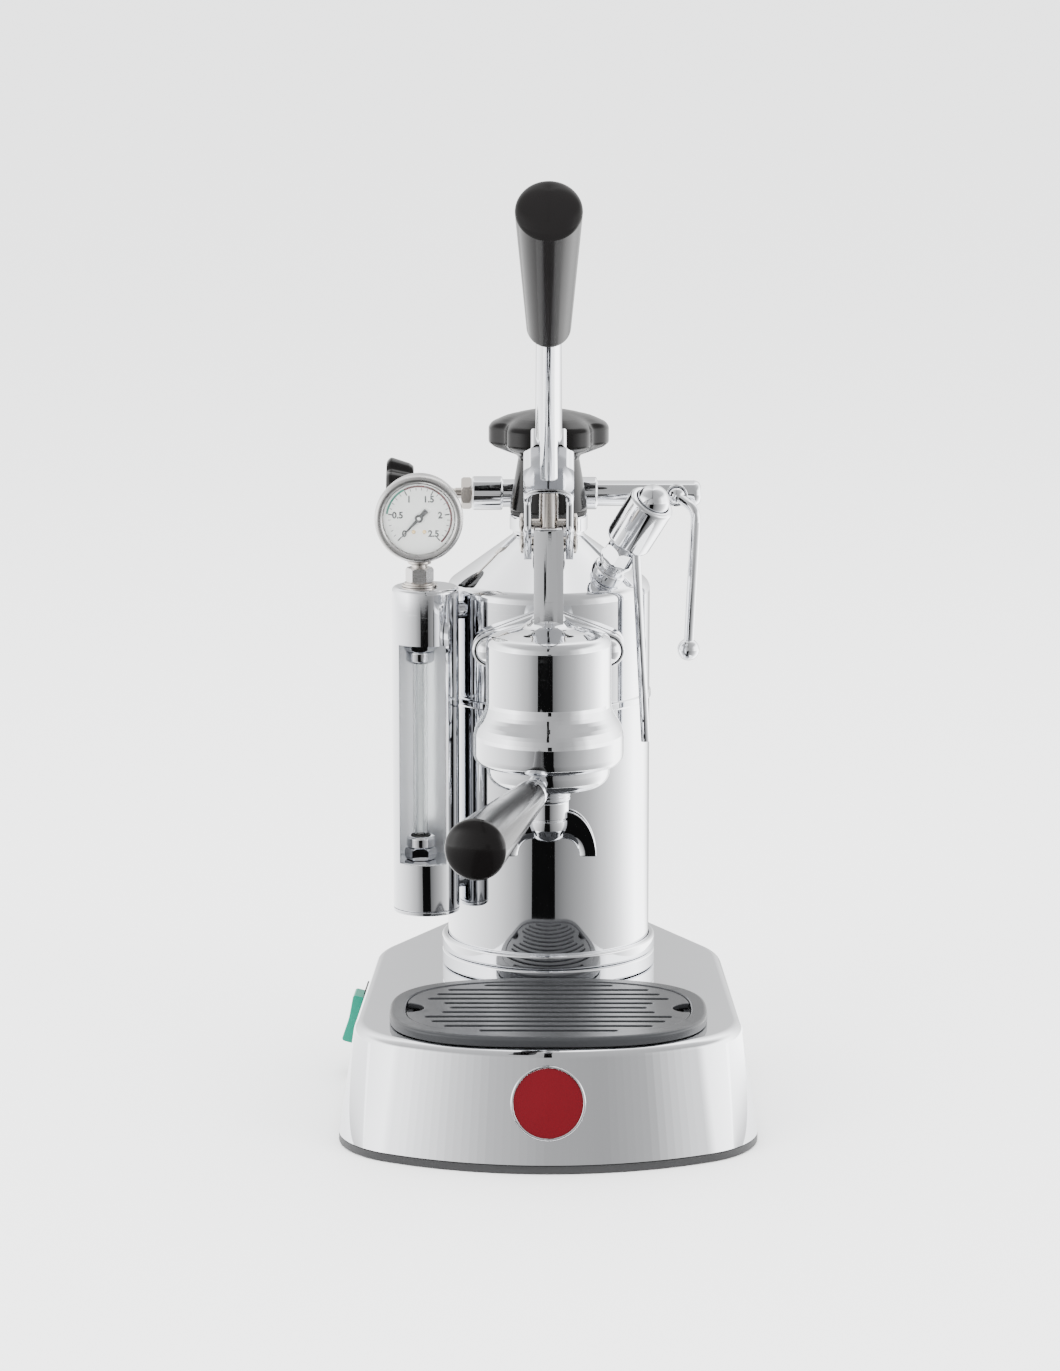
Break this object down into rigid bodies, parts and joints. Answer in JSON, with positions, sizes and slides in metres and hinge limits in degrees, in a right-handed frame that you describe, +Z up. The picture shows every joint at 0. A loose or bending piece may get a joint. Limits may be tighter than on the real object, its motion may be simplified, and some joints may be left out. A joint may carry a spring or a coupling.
{
  "type": "lever espresso machine",
  "caption": "Domestic lever espresso machine with an upright chrome boiler, side sight glass with gauge, steam wand, lobed filler cap, portafilter and drip tray.",
  "frame": {"origin": "on the boiler's axis, in the plane of the underside that rests on the table", "axes": "+X to the machine's right as its user faces it, -Y towards the user, +Z up"},
  "size_m": [0.2037, 0.4347, 0.4751],
  "materials": {
    "chrome": "polished chrome plating",
    "nickel": "plain nickel plating",
    "brass": "bare brass",
    "steel": "plain stainless steel",
    "satin_steel": "satin stainless steel",
    "black_plastic": "gloss black phenolic",
    "matte_black": "matte black",
    "tray_grey": "dark grey moulded plastic",
    "green_plastic": "clear green plastic",
    "red_enamel": "dark red enamel",
    "rubber": "black rubber",
    "dial_white": "white painted dial",
    "glass": "clear glass",
    "lamp_amber": "dark amber lens"
  },
  "bodies": {
    "machine": {"base_shell": "chrome", "base_pan": "matte_black", "badge": "red_enamel", "switch_frame": "matte_black", "pilot_lamp": "lamp_amber", "cord_gland": "matte_black", "pressure_switch": "matte_black", "boiler_shell": "chrome", "boiler_lower_ring": "chrome", "boiler_upper_ring": "chrome", "boiler_gasket": "rubber", "heating_element": "brass", "boiler_ring_nut": "brass", "group_body": "chrome", "group_gasket": "rubber", "group_bolt_left": "chrome", "group_bolt_right": "chrome", "dip_tube": "brass", "cylinder_sleeve": "steel", "shower_screen": "steel", "group_seal": "rubber", "pivot_pin": "nickel", "steam_tap_body": "chrome", "steam_gland_nut": "nickel", "safety_valve_body": "chrome", "safety_valve_cap": "chrome", "overflow_tube": "chrome", "sight_guard": "chrome", "sight_bottom_fitting": "chrome", "sight_top_fitting": "chrome", "sight_glass": "glass", "sight_nut_lower": "chrome", "sight_nut_upper": "chrome", "gauge_nut": "nickel", "gauge_case": "satin_steel", "gauge_bezel": "satin_steel", "gauge_lens": "glass", "gauge_dial": "dial_white"},
    "lever": {"lever_fork": "chrome", "lever_handle": "black_plastic"},
    "piston": {"piston_rod": "nickel", "piston_head": "brass", "piston_seal_lower": "rubber", "piston_seal_upper": "rubber", "rod_pin": "nickel"},
    "portafilter": {"portafilter_body": "chrome", "portafilter_ferrule": "chrome", "portafilter_handle": "black_plastic", "filter_basket": "steel", "spout": "chrome"},
    "cap_washer": {"cap_gasket": "rubber"},
    "cap": {"cap_knob": "black_plastic"},
    "tray": {"drip_tray": "tray_grey"},
    "grille": {"drip_grille": "tray_grey"},
    "steam_tap": {"steam_spindle": "nickel", "steam_knob": "black_plastic"},
    "wand": {"steam_wand": "chrome"},
    "needle": {"gauge_needle": "matte_black"},
    "rocker": {"switch_rocker": "green_plastic"}
  },
  "joints": [
    {"name": "lever_pivot", "type": "hinge", "parent": "machine", "child": "lever", "pos_m": [0, -0.065, 0.28], "axis": [-1, 0, 0], "range_deg": [-53, 9]},
    {"name": "piston_slide", "type": "slide", "parent": "machine", "child": "piston", "axis": [0, 0, 1], "range_m": [-0.0258, 0.0046]},
    {"name": "portafilter_twist", "type": "hinge", "parent": "machine", "child": "portafilter", "pos_m": [0, -0.09, 0.17], "axis": [0, 0, 1], "range_deg": [-50, 12]},
    {"name": "cap_rise", "type": "slide", "parent": "machine", "child": "cap_washer", "axis": [0, 0, 1], "range_m": [0, 0.00605]},
    {"name": "cap_turn", "type": "hinge", "parent": "cap_washer", "child": "cap", "pos_m": [0, 0, 0.3], "axis": [0, 0, 1], "range_deg": [0, 1080]},
    {"name": "tray_lift", "type": "slide", "parent": "machine", "child": "tray", "axis": [0, 0, 1], "range_m": [0, 0.035]},
    {"name": "grille_lift", "type": "slide", "parent": "tray", "child": "grille", "axis": [0, 0, 1], "range_m": [0, 0.025]},
    {"name": "steam_tap_turn", "type": "hinge", "parent": "machine", "child": "steam_tap", "pos_m": [-0.07, 0.0266, 0.29], "axis": [-1, 0, 0], "range_deg": [0, 540]},
    {"name": "wand_swing", "type": "hinge", "parent": "machine", "child": "wand", "pos_m": [0.0635, 0.01915, 0.29], "axis": [0, 0, 1], "range_deg": [-45, 20]},
    {"name": "needle_sweep", "type": "hinge", "parent": "machine", "child": "needle", "pos_m": [-0.06283, -0.046, 0.288], "axis": [0, 1, 0], "range_deg": [0, 265]},
    {"name": "switch_rock", "type": "hinge", "parent": "machine", "child": "rocker", "pos_m": [-0.09127, 0, 0.027], "axis": [-0.0476, -0.9989, 0], "range_deg": [0, 12]}
  ],
  "couplings": [
    {"joint": "piston_slide", "follows": "lever_pivot", "m_per_rad": 0.0276},
    {"joint": "cap_rise", "follows": "cap_turn", "m_per_rad": 0.00031831}
  ]
}
